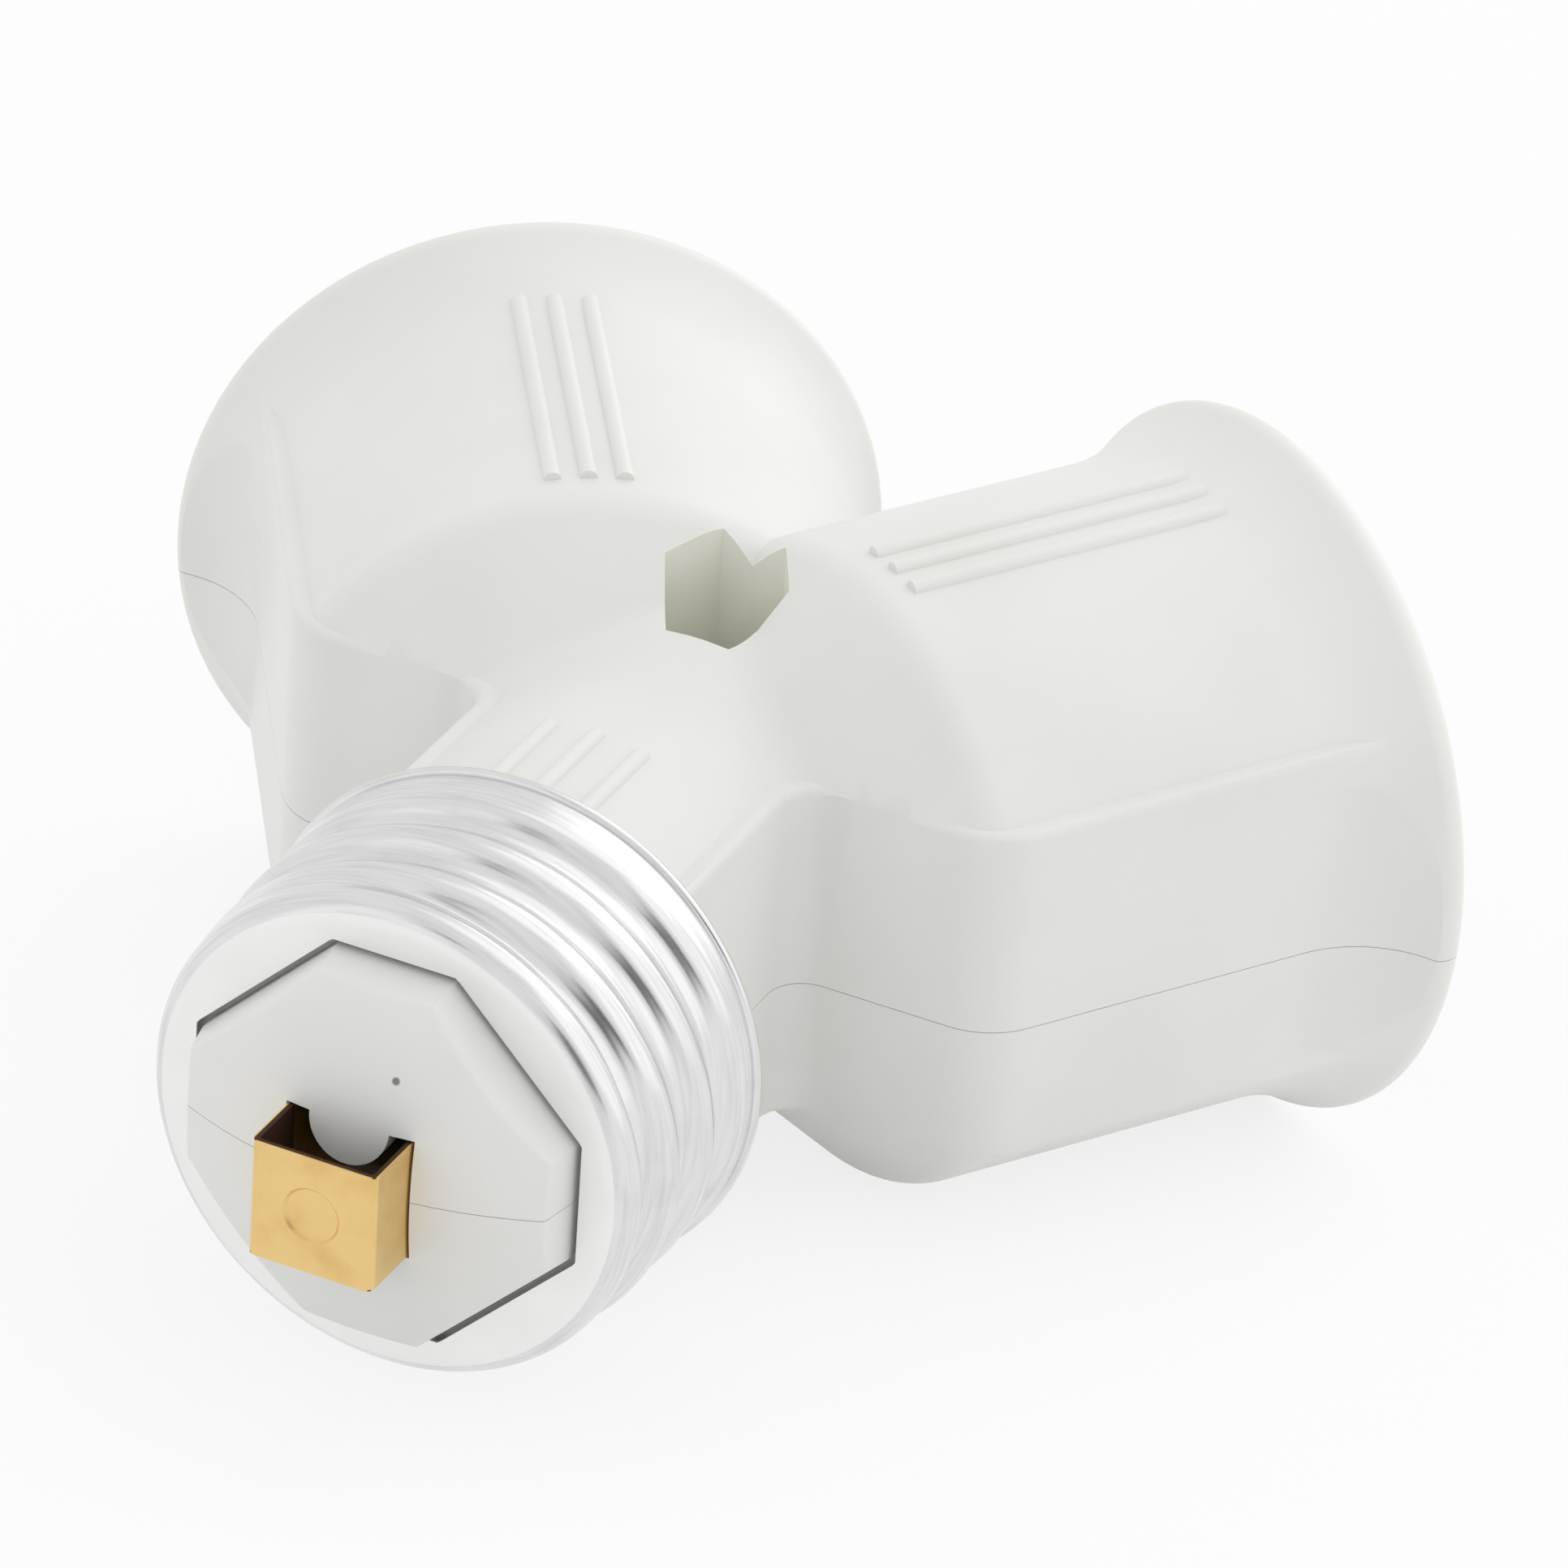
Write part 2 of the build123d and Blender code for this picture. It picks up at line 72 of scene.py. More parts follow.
Colour = tuple[float, float, float, float]
Triple = tuple[float, float, float]
WHITE: Colour = (1.0, 1.0, 1.0, 1.0)

# Sockets of a Mix node that works on colours
MIX_SHARE, MIX_FIRST, MIX_SECOND, MIX_RESULT = 0, 6, 7, 2


class Side(Enum):
    """The two arms of the Y."""

    LEFT = "left"
    RIGHT = "right"


class Value:
    """A shader socket whose sums and products add Math nodes to its graph."""

    def __init__(self, graph: Graph, socket: bpy.types.NodeSocket) -> None:
        """Keeps a graph and one of its output sockets, which holds one number."""
        self.graph = graph
        self.socket = socket

    def _math(self, operation: str, *terms: Any) -> Value:
        """Adds one Math node on numbers or values, in order."""
        node = self.graph.node("ShaderNodeMath", {"operation": operation}, dict(enumerate(terms)))
        return Value(self.graph, node.outputs[0])

    def __add__(self, other: Any) -> Value:
        """Sum."""
        return self._math("ADD", self, other)

    __radd__ = __add__

    def __sub__(self, other: Any) -> Value:
        """Difference."""
        return self._math("SUBTRACT", self, other)

    def __rsub__(self, other: Any) -> Value:
        """Difference the other way round."""
        return self._math("SUBTRACT", other, self)

    def __mul__(self, other: Any) -> Value:
        """Product."""
        return self._math("MULTIPLY", self, other)

    __rmul__ = __mul__

    def __abs__(self) -> Value:
        """Absolute value."""
        return self._math("ABSOLUTE", self)

    def __lt__(self, other: Any) -> Value:
        """One where this is smaller, else nought."""
        return self._math("LESS_THAN", self, other)

    def __gt__(self, other: Any) -> Value:
        """One where this is larger, else nought."""
        return self._math("GREATER_THAN", self, other)

    def larger(self, other: Any) -> Value:
        """The larger of two values."""
        return self._math("MAXIMUM", self, other)

    def root(self) -> Value:
        """Square root."""
        return self._math("SQRT", self)

    def step(self, low: float, high: float) -> Value:
        """A smooth rise from nought at low to one at high.

        Args:
            low: Value where the rise starts.
            high: Value where it ends.

        Returns:
            The smoothed share.
        """
        settings = {"interpolation_type": "SMOOTHSTEP"}
        inputs = {"Value": self, "From Min": low, "From Max": high}
        node = self.graph.node("ShaderNodeMapRange", settings, inputs)
        return Value(self.graph, node.outputs["Result"])


@dataclass(frozen=True)
class Cloud:
    """A cloud noise: its cells to a unit of length, its octaves and the band in which it rises."""

    scale: float
    detail: float
    low: float = 0.35
    high: float = 0.75

    def band(self, noise: Value) -> Value:
        """Smooth share of the band that the noise has risen through."""
        return noise.step(self.low, self.high)


class Graph:
    """The node tree of one material or world."""

    def __init__(self, tree: bpy.types.NodeTree) -> None:
        """Empties a node tree, to fill it."""
        self.tree = tree
        tree.nodes.clear()

    def node(
        self,
        kind: str,
        settings: dict[str, Any] | None = None,
        inputs: dict[Any, Any] | None = None,
    ) -> bpy.types.Node:
        """Adds one node, its settings first and then its sockets.

        Args:
            kind: Node type name.
            settings: Attributes of the node.
            inputs: Socket names or numbers, each with a number, a colour, a Value or a socket.

        Returns:
            The new node.
        """
        node = self.tree.nodes.new(kind)
        for name, setting in (settings or {}).items():
            setattr(node, name, setting)
        for name, item in (inputs or {}).items():
            source = item.socket if isinstance(item, Value) else item
            if isinstance(source, bpy.types.NodeSocket):
                self.tree.links.new(source, node.inputs[name])
            else:
                node.inputs[name].default_value = source
        return node

    def coords(self) -> bpy.types.NodeSocket:
        """Object coordinates, in metres."""
        return self.node("ShaderNodeTexCoord").outputs["Object"]

    def noise(self, cloud: Cloud, vector: bpy.types.NodeSocket | None = None) -> Value:
        """A cloud noise between nought and one, on a vector or on the object's own coordinates."""
        inputs = {"Vector": vector or self.coords(), "Scale": cloud.scale, "Detail": cloud.detail}
        return Value(self, self.node("ShaderNodeTexNoise", {}, inputs).outputs[0])

    def blend(self, share: Any, first: Any, second: Any) -> bpy.types.NodeSocket:
        """Mixes two colours by the share of the second.

        Args:
            share: How much of the second.
            first: First colour.
            second: Second colour.

        Returns:
            The mixed colour.
        """
        settings = {"data_type": "RGBA", "clamp_factor": True}
        inputs = {MIX_SHARE: share, MIX_FIRST: first, MIX_SECOND: second}
        return self.node("ShaderNodeMix", settings, inputs).outputs[MIX_RESULT]

    def bump(self, height: Value, strength: float, distance: float) -> bpy.types.NodeSocket:
        """Turns a height between nought and one into a normal; the distance is in millimetres."""
        inputs = {"Height": height, "Strength": strength, "Distance": distance * MM}
        return self.node("ShaderNodeBump", {}, inputs).outputs["Normal"]

    def places(self, frame: YFrame) -> tuple[Value, Value, Value]:
        """Places in the Y's own directions: the way from its crossing, times each direction.

        Args:
            frame: The Y's own frame.

        Returns:
            Distances across, along the neck and up, in millimetres.
        """
        ends = {0: self.coords(), 1: tuple(frame.crossing)}
        way = self.node("ShaderNodeVectorMath", {"operation": "SUBTRACT"}, ends).outputs[0]
        parts = []
        for axis in (frame.across, frame.neck, frame.up):
            factors = {0: way, 1: tuple(axis / MM)}
            dot = self.node("ShaderNodeVectorMath", {"operation": "DOT_PRODUCT"}, factors)
            parts.append(Value(self, dot.outputs["Value"]))
        return parts[0], parts[1], parts[2]

    def stretched(
        self, places: tuple[Value, Value, Value], stretch: Triple
    ) -> bpy.types.NodeSocket:
        """Joins three places, each times its own stretch, into one vector."""
        parts = {number: place * stretch[number] for number, place in enumerate(places)}
        return self.node("ShaderNodeCombineXYZ", {}, parts).outputs[0]

    def surface(self, inputs: dict[str, Any]) -> None:
        """Adds the Principled shader with these sockets, and the output."""
        shader = self.node("ShaderNodeBsdfPrincipled", {}, inputs)
        self.node("ShaderNodeOutputMaterial", {}, {"Surface": shader.outputs[0]})


def new_material(name: str) -> tuple[bpy.types.Material, Graph]:
    """Makes a material with an empty graph.

    Args:
        name: Its name.

    Returns:
        The material and its graph.
    """
    material = bpy.data.materials.new(name)
    material.use_nodes = True
    return material, Graph(material.node_tree)


@dataclass(frozen=True)
class YFrame:
    """The Y's own frame: where its axes cross, its arms, and the ways across, along and up."""

    crossing: np.ndarray
    across: np.ndarray
    neck: np.ndarray
    up: np.ndarray
    arms: dict[Side, np.ndarray]

    @classmethod
    def read(cls, record: dict[str, Any]) -> YFrame:
        """Works the frame out from the record's mounts.

        Args:
            record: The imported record.

        Returns:
            The frame.
        """
        mounts = {mount["name"]: mount for mount in record["mounts"]}
        arms = {side: np.array(mounts[f"{side.value}_socket"]["axis"]) for side in Side}
        neck = -np.array(mounts["screw_cap"]["axis"])
        start = np.array(mounts["right_socket"]["pos_m"])
        crossing = start - arms[Side.RIGHT] * (start[0] / arms[Side.RIGHT][0])
        across = np.array([1.0, 0.0, 0.0])
        return cls(crossing, across, neck, np.cross(across, neck), arms)

    def place(self, across: np.ndarray, along: np.ndarray, up: np.ndarray) -> np.ndarray:
        """Carries millimetres in the Y's own directions to metres in the scene.

        Args:
            across: Distances across.
            along: Distances along the neck, away from the cap.
            up: Distances up.

        Returns:
            Points, with a last axis of three.
        """
        level = across[..., None] * self.across + along[..., None] * self.neck
        return self.crossing + (level + up[..., None] * self.up) * MM

    def round_arm(
        self, side: Side, along: np.ndarray, radius: np.ndarray, turn: np.ndarray
    ) -> np.ndarray:
        """Points round one arm's axis: along it, and out by a radius turned from up.

        Args:
            side: Which arm.
            along: Distances along the arm, in millimetres.
            radius: Distances from its axis, in millimetres.
            turn: Angles from up, in radians.

        Returns:
            Points, with a last axis of three.
        """
        axis = self.arms[side]
        beside = np.cross(self.up, axis)
        ring = np.cos(turn)[..., None] * self.up + np.sin(turn)[..., None] * beside
        return self.crossing + (along[..., None] * axis + radius[..., None] * ring) * MM


def linked(name: str, mesh: bpy.types.Mesh) -> bpy.types.Object:
    """Puts a mesh into the scene as a new object.

    Args:
        name: Name of the object.
        mesh: Its mesh.

    Returns:
        The object.
    """
    piece = bpy.data.objects.new(name, mesh)
    bpy.context.scene.collection.objects.link(piece)
    return piece


def shade(piece: bpy.types.Object, corner_deg: float) -> None:
    """Shades a piece smooth, apart from edges sharper than a corner.

    Args:
        piece: The piece.
        corner_deg: Angle from which an edge stays sharp.
    """
    mesh = piece.data
    mesh.polygons.foreach_set("use_smooth", np.ones(len(mesh.polygons), dtype=bool))
    mesh.set_sharp_from_angle(angle=math.radians(corner_deg))


def face_outwards(piece: bpy.types.Object) -> None:
    """Turns every face of a closed piece outwards.

    Args:
        piece: A closed mesh.
    """
    work = bmesh.new()
    work.from_mesh(piece.data)
    bmesh.ops.recalc_face_normals(work, faces=work.faces)
    work.to_mesh(piece.data)
    work.free()


def ring_mesh(name: str, points: np.ndarray) -> bpy.types.Object:
    """Makes a mesh closed both ways from a grid of points.

    Args:
        name: Name of the piece.
        points: Rows by columns by three; each row is a ring, and the last row joins the first.

    Returns:
        The piece, shaded smooth.
    """
    rows, columns = points.shape[:2]
    here = np.arange(rows * columns).reshape(rows, columns)
    below = np.roll(here, -1, axis=0)
    beside = np.roll(here, -1, axis=1)
    quads = np.stack([here, beside, np.roll(below, -1, axis=1), below], axis=-1)
    mesh = bpy.data.meshes.new(name)
    mesh.from_pydata(points.reshape(-1, 3), [], quads.reshape(-1, 4))
    piece = linked(name, mesh)
    face_outwards(piece)
    shade(piece, THREAD_CORNER_DEG)
    return piece


def smooth_copy(node: bpy.types.Object, name: str) -> bpy.types.Object:
    """Copies a solid's mesh with its corners joined, so that its round faces shade smooth.

    Args:
        node: The solid's own object.
        name: Name of the copy.

    Returns:
        The copy.
    """
    mesh = node.data.copy()
    mesh.name = name
    piece = linked(name, mesh)
    work = bmesh.new()
    work.from_mesh(mesh)
    bmesh.ops.remove_doubles(work, verts=work.verts, dist=MERGE_MM * MM)
    work.to_mesh(mesh)
    work.free()
    if "custom_normal" in mesh.attributes:
        mesh.attributes.remove(mesh.attributes["custom_normal"])
    shade(piece, SOLID_CORNER_DEG)
    return piece


def dress(piece: bpy.types.Object, material: bpy.types.Material) -> None:
    """Gives a piece one material."""
    piece.data.materials.clear()
    piece.data.materials.append(material)


def settle(
    piece: bpy.types.Object, material: bpy.types.Material, body: str, node: str
) -> None:
    """Dresses a piece of the adapter, hangs it on its body and hides the solid that it replaces.

    Args:
        piece: The piece.
        material: Its finish.
        body: Body that it rides on.
        node: Solid that it replaces.
    """
    dress(piece, material)
    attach(piece, body)
    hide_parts(node)


@dataclass(frozen=True)
class MouldedPlastic:
    """White moulded plastic: a faint mottle, a fine grain, painted light on the walls of the hex
    recess, and one fleck.
    """

    colour: Colour = (0.84, 0.84, 0.815, 1.0)
    mottle: Colour = (0.81, 0.81, 0.78, 1.0)
    # painted light: a lighter, yellower colour on the walls of the hex recess stands in for light
    # bouncing into it
    painted_pocket_light: Colour = (0.90, 0.90, 0.82, 1.0)
    fleck: Colour = (0.22, 0.22, 0.21, 1.0)
    refraction: float = 1.49
    roughness: float = 0.34
    rough_spread: float = 0.10
    mottling: Cloud = Cloud(90.0, 3.0)
    patches: Cloud = Cloud(300.0, 3.0)
    grain: Cloud = Cloud(2600.0, 2.0)
    grain_strength: float = 0.08
    grain_height: float = 0.05
    pocket_place: float = 11.6
    pocket_half: float = 2.95
    pocket_skin: float = 0.02
    pocket_fade: float = 0.06
    pocket_floor: float = 2.5
    hex_lean_deg: float = 30.0
    fleck_across: float = 2.06
    fleck_up: float = 5.95
    fleck_radius: float = 0.21
    fleck_core: float = 0.6
    fleck_edge: float = 1.2
    nose_front: float = -24.0

    def on_pocket_painted_light(self, across: Value, along: Value, up: Value) -> Value:
        """One on the walls of the hex recess, where light is painted, else nought.

        A hexagon's reach is the largest of three distances, each square to two of its flats.

        Args:
            across: Places across.
            along: Places along the neck.
            up: Places up.

        Returns:
            The share.
        """
        lean = math.radians(self.hex_lean_deg)
        beside = along - self.pocket_place
        aside, behind = across * math.cos(lean), beside * math.sin(lean)
        reach = abs(beside).larger(abs(aside + behind)).larger(abs(aside - behind))
        start, end = self.pocket_half + self.pocket_skin, self.pocket_half + self.pocket_fade
        return (1 - reach.step(start, end)) * (up > self.pocket_floor)

    def in_fleck(self, across: Value, along: Value, up: Value) -> Value:
        """One on the round fleck on the nose, fading to nought past its edge.

        Args:
            across: Places across.
            along: Places along the neck.
            up: Places up.

        Returns:
            The share.
        """
        aside, above = across - self.fleck_across, up - self.fleck_up
        away = (aside * aside + above * above).root()
        core, edge = self.fleck_core * self.fleck_radius, self.fleck_edge * self.fleck_radius
        return (1 - away.step(core, edge)) * (along < self.nose_front)

    def material(self, frame: YFrame) -> bpy.types.Material:
        """Builds the material.

        Args:
            frame: The Y's own frame.

        Returns:
            The material.
        """
        material, graph = new_material("moulded_white_plastic")
        places = graph.places(frame)
        mottled = self.mottling.band(graph.noise(self.mottling))
        colour = graph.blend(mottled, self.colour, self.mottle)
        # painted light on the walls of the hex recess
        colour = graph.blend(self.on_pocket_painted_light(*places), colour, self.painted_pocket_light)
        colour = graph.blend(self.in_fleck(*places), colour, self.fleck)
        grain = graph.noise(self.grain)
        graph.surface(
            {
                "Base Color": colour,
                "Roughness": self.roughness + self.rough_spread * graph.noise(self.patches),
                "IOR": self.refraction,
                "Normal": graph.bump(grain, self.grain_strength, self.grain_height),
            }
        )
        return material


@dataclass(frozen=True)
class RolledSheet:
    """Bright plated sheet with fine marks that run round the thread, and painted light that makes the
    cap's face paler.
    """

    colour: Colour = (0.78, 0.78, 0.78, 1.0)
    dull: Colour = (0.64, 0.64, 0.64, 1.0)
    # painted light: a paler colour on the cap's front face stands in for the light it would reflect
    face: Colour = (0.92, 0.92, 0.91, 1.0)
    face_painted_light_share: float = 0.8
    face_matt: float = 0.30
    face_place: float = -22.3
    roughness: float = 0.16
    rough_spread: float = 0.16
    marks: Cloud = Cloud(1.6, 4.0)
    marks_stretch: Triple = (0.15, 3.0, 0.15)
    marks_share: float = 0.6
    marks_strength: float = 0.10
    marks_height: float = 0.02
    clouds: Cloud = Cloud(260.0, 3.0, 0.5, 0.8)
    clouds_share: float = 0.4

    def material(self, frame: YFrame) -> bpy.types.Material:
        """Builds the material, with a more matt front face painted paler as painted light.

        Args:
            frame: The Y's own frame.

        Returns:
            The material.
        """
        material, graph = new_material("plated_rolled_sheet")
        places = graph.places(frame)
        marks = graph.noise(self.marks, graph.stretched(places, self.marks_stretch))
        clouds = graph.noise(self.clouds)
        dulled = self.marks.band(marks) * self.marks_share
        dulled = dulled + self.clouds.band(clouds) * self.clouds_share
        colour = graph.blend(dulled, self.colour, self.dull)
        on_face = places[1] < self.face_place
        graph.surface(
            {
                # painted light on the cap's front face
                "Base Color": graph.blend(on_face * self.face_painted_light_share, colour, self.face),
                "Metallic": 1.0,
                "Roughness": self.roughness + self.rough_spread * marks + self.face_matt * on_face,
                "Normal": graph.bump(marks, self.marks_strength, self.marks_height),
            }
        )
        return material


@dataclass(frozen=True)
class StampedBrass:
    """Brass strip with drawn marks and a faint bloom, with painted shade inside its bridge and on its
    cut edges.
    """

    name: str
    colour: Colour
    bloom: Colour
    # painted shade: a dark brown colour inside the bridge and on its cut edges stands in for shadow
    painted_bridge_shade: Colour = (0.10, 0.05, 0.03, 1.0)
    painted_bridge_shade_matt: float = 0.3
    roughness: float = 0.30
    rough_spread: float = 0.15
    marks: Cloud = Cloud(1.2, 4.0)
    marks_stretch: Triple = (0.3, 0.3, 5.0)
    marks_strength: float = 0.08
    marks_height: float = 0.02
    clouds: Cloud = Cloud(420.0, 3.0, 0.4, 0.8)
    bridge_half: float = 3.3
    bridge_front: float = -29.75
    bridge_root: float = -26.0
    bridge_rise: float = 3.1
    dimple: float = 0.2
    skin: float = 0.07

    def in_painted_bridge_shade(self, across: Value, along: Value, up: Value) -> Value:
        """One inside the bridge and on its cut edges, where shade is painted, else nought.

        It starts a skin behind the bridge's outer faces, and further behind where the front is
        dimpled.

        Args:
            across: Places across.
            along: Places along the neck.
            up: Places up.

        Returns:
            The share.
        """
        depth = along - self.bridge_front
        behind = depth > self.skin + self.dimple * (abs(up) < self.bridge_rise)
        between = abs(across) < self.bridge_half - self.skin
        return behind * between * (along < self.bridge_root)

    def material(self, frame: YFrame) -> bpy.types.Material:
        """Builds the material.

        Args:
            frame: The Y's own frame.

        Returns:
            The material.
        """
        material, graph = new_material(self.name)
        places = graph.places(frame)
        marks = graph.noise(self.marks, graph.stretched(places, self.marks_stretch))
        bloomed = self.clouds.band(graph.noise(self.clouds))
        colour = graph.blend(bloomed, self.colour, self.bloom)
        inside = self.in_painted_bridge_shade(*places)
        roughness = self.roughness + self.rough_spread * marks + self.painted_bridge_shade_matt * inside
        graph.surface(
            {
                # painted shade inside the bridge and on its cut edges
                "Base Color": graph.blend(inside, colour, self.painted_bridge_shade),
                "Metallic": 1.0,
                "Roughness": roughness,
                "Normal": graph.bump(marks, self.marks_strength, self.marks_height),
            }
        )
        return material


@dataclass(frozen=True)
class ZincSteel:
    """Zinc plated steel of the screw and its nut."""

    colour: Colour = (0.62, 0.63, 0.64, 1.0)
    dull: Colour = (0.47, 0.47, 0.47, 1.0)
    roughness: float = 0.30
    rough_spread: float = 0.2
    clouds: Cloud = Cloud(700.0, 4.0)

    def material(self) -> bpy.types.Material:
        """Builds the material.

        Returns:
            The material.
        """
        material, graph = new_material("zinc_plated_steel")
        clouds = graph.noise(self.clouds)
        graph.surface(
            {
                "Base Color": graph.blend(self.clouds.band(clouds), self.colour, self.dull),
                "Metallic": 1.0,
                "Roughness": self.roughness + self.rough_spread * clouds,
            }
        )
        return material


def eased(share: np.ndarray) -> np.ndarray:
    """Smooth rise from nought to one: three times the square less twice the cube."""
    held = np.clip(share, 0, 1)
    return held * held * (3 - 2 * held)


@dataclass(frozen=True)
class Thread:
    """A rolled round thread, by its pitch, depth and where it runs."""

    start: float
    first_turn: float
    last_turn: float
    depth: float
    pitch: float = 3.63
    fade: float = 0.14

    def wave(self, along: np.ndarray, turn: np.ndarray) -> np.ndarray:
        """Depth of the thread's groove at places along and round its axis.

        The groove's middle lies at start + pitch * turns. Two equal circles that touch halfway
        down, one for the groove and one for the crest, give its section, and its two ends fade out
        over a share of a turn.

        Args:
            along: Distances along the axis, in millimetres.
            turn: Angles round the axis by the right hand, in radians.

        Returns:
            Depths in millimetres.
        """
        share = turn / (2 * np.pi)
        place = (along - self.start) / self.pitch - share
        number = np.round(place)
        wound = number + share
        ends = eased((wound - self.first_turn) / self.fade)
        ends = ends * eased((self.last_turn - wound) / self.fade)
        half = self.pitch / 2
        lean = 2 * math.atan(self.depth / half)
        circle = half / (2 * math.sin(lean))
        aside = np.abs(place - number) * self.pitch
        groove = self.depth - circle + np.sqrt(circle**2 - np.minimum(aside, half / 2) ** 2)
        crest = circle - np.sqrt(circle**2 - np.minimum(half - aside, half / 2) ** 2)
        return np.where(aside < half / 2, groove, crest) * ends


@dataclass
class ScrewCap:
    """The screw cap: a shell with a rolled thread, a flange with an octagonal hole, and a rim."""

    frame: YFrame
    material: bpy.types.Material
    thread: Thread = Thread(start=-13.4, first_turn=-2.1, last_turn=0.45, depth=0.95)
    columns: int = 288
    face_rows: int = 8
    bend_rows: int = 9
    barrel_rows: int = 150
    rim_rows: int = 9
    crest: float = 13.15
    front_crest: float = 12.8
    front: float = 22.4
    back: float = 9.4
    front_round: float = 1.2
    sheet: float = 0.3
    rim: float = 0.25
    inner: float = 11.85
    hole_sides: int = 8
    hole_half: float = 9.9
    hole_edge: float = 3.15
    hole_gap: float = 0.35
    hole_facing: float = 0.1

    def hole(self, turn: np.ndarray) -> np.ndarray:
        """Radius of the octagonal hole: the nearest of eight straight edges in each direction.

        Args:
            turn: Angles from up, in radians.

        Returns:
            Radii in millimetres.
        """
        straight = self.hole_half + self.hole_gap
        slant = (self.hole_half + self.hole_edge) / math.sqrt(2) + self.hole_gap
        number = np.arange(self.hole_sides)
        reach = np.where(number % 2 == 0, straight, slant)
        facing = np.cos(turn[..., None] - number * (2 * np.pi / self.hole_sides))
        radius = reach / np.maximum(facing, self.hole_facing)
        return np.min(np.where(facing > self.hole_facing, radius, np.inf), axis=-1)

    def profile(self) -> tuple[np.ndarray, np.ndarray, np.ndarray, np.ndarray]:
        """Section of the sheet, from the hole over the thread to the rim and back inside.

        A flat face, a quarter circle, a straight barrel that swells to the crest within the first
        pitch, a half circle at the rim, and a plain bore.

        Returns:
            Places along the neck, radii, the share of each row that follows the octagonal hole, and
            the share of the thread's depth that it has.
        """
        edge = self.front_crest - self.front_round
        bend = np.linspace(0, np.pi / 2, self.bend_rows)[1:]
        barrel_start = self.front_round - self.front
        barrel_end = -self.back - 2 * self.rim
        barrel = np.linspace(barrel_start, barrel_end, self.barrel_rows)[1:]
        run = barrel - barrel[0]
        swell = np.clip(run / self.thread.pitch, 0, 1)
        roll = np.linspace(0, np.pi, self.rim_rows)[1:]
        bend_along = barrel_start - self.front_round * np.cos(bend)
        sections = [
            (np.full(self.face_rows, -self.front), np.full(self.face_rows, edge)),
            (bend_along, edge + self.front_round * np.sin(bend)),
            (barrel, self.front_crest + (self.crest - self.front_crest) * swell),
            (-self.back - self.rim * (1 + np.cos(roll)), self.crest + self.rim * np.sin(roll)),
            (np.array([-self.back, self.sheet - self.front]), np.full(2, self.inner)),
            (np.array([self.sheet - self.front]), np.array([edge])),
        ]
        along = np.concatenate([places for places, _ in sections])
        radius = np.concatenate([radii for _, radii in sections])
        holed = np.zeros(along.size)
        holed[: self.face_rows] = np.linspace(1, 0, self.face_rows)
        holed[-1] = 1.0
        threaded = np.zeros(along.size)
        first = self.face_rows + bend.size
        threaded[first : first + barrel.size] = np.clip(run / self.front_round, 0, 1)
        return along, radius, holed, threaded

    def build(self) -> bpy.types.Object:
        """Makes the shell: the section's rows are rings, less the thread's depth on the barrel.

        Returns:
            The shell.
        """
        along, radius, holed, threaded = self.profile()
        turn = np.linspace(-np.pi, np.pi, self.columns, endpoint=False)
        along, turn = np.meshgrid(along, turn, indexing="ij")
        radius = radius[:, None] - threaded[:, None] * self.thread.wave(along, turn)
        radius = radius * (1 - holed[:, None]) + self.hole(turn) * holed[:, None]
        points = self.frame.place(radius * np.sin(turn), along, radius * np.cos(turn))
        piece = ring_mesh("rolled_cap_shell", points)
        settle(piece, self.material, "adapter", "cap_screw_shell")
        return piece


@dataclass
class SocketShell:
    """A socket's screw shell: a sleeve with a rolled thread and its inner edge turned in."""

    frame: YFrame
    side: Side
    material: bpy.types.Material
    thread: Thread = Thread(start=24.4, first_turn=0.0, last_turn=2.8, depth=0.8)
    columns: int = 240
    barrel_rows: int = 90
    radius: float = 13.35
    sheet: float = 0.3
    back: float = 22.0
    front: float = 36.6
    lip: float = 10.0

    def build(self) -> bpy.types.Object:
        """Makes the sleeve: ridges stand in from the widest radius, on both faces of the sheet.

        Returns:
            The sleeve.
        """
        barrel = np.linspace(self.back + 2 * self.sheet, self.front, self.barrel_rows)
        inside, outside = self.radius, self.radius + self.sheet
        sections = [
            (np.full(2, self.back + self.sheet), np.array([self.lip, inside]), np.zeros(2)),
            (barrel, np.full(barrel.size, inside), np.ones(barrel.size)),
            (barrel[::-1], np.full(barrel.size, outside), np.ones(barrel.size)),
            (np.full(2, self.back), np.array([outside, self.lip]), np.zeros(2)),
        ]
        along, radius, threaded = (np.concatenate(column) for column in zip(*sections))
        turn = np.linspace(-np.pi, np.pi, self.columns, endpoint=False)
        along, turn = np.meshgrid(along, turn, indexing="ij")
        depth = self.thread.wave(along, turn) * threaded[:, None]
        points = self.frame.round_arm(self.side, along, radius[:, None] - depth, turn)
        piece = ring_mesh(f"rolled_{self.side.value}_socket_shell", points)
        settle(piece, self.material, "adapter", f"{self.side.value}_socket_shell")
        return piece


@dataclass
class Housing:
    """The two moulded halves."""

    frame: YFrame
    nodes: dict[str, bpy.types.Object]
    finish: MouldedPlastic = MouldedPlastic()

    def build(self) -> list[bpy.types.Object]:
        """Makes smooth copies of both halves in white plastic.

        Returns:
            The halves.
        """
        material = self.finish.material(self.frame)
        pieces = []
        for half in ("upper", "lower"):
            node = f"{half}_housing"
            piece = smooth_copy(self.nodes[node], f"moulded_{half}_half")
            settle(piece, material, "adapter", node)
            pieces.append(piece)
        return pieces


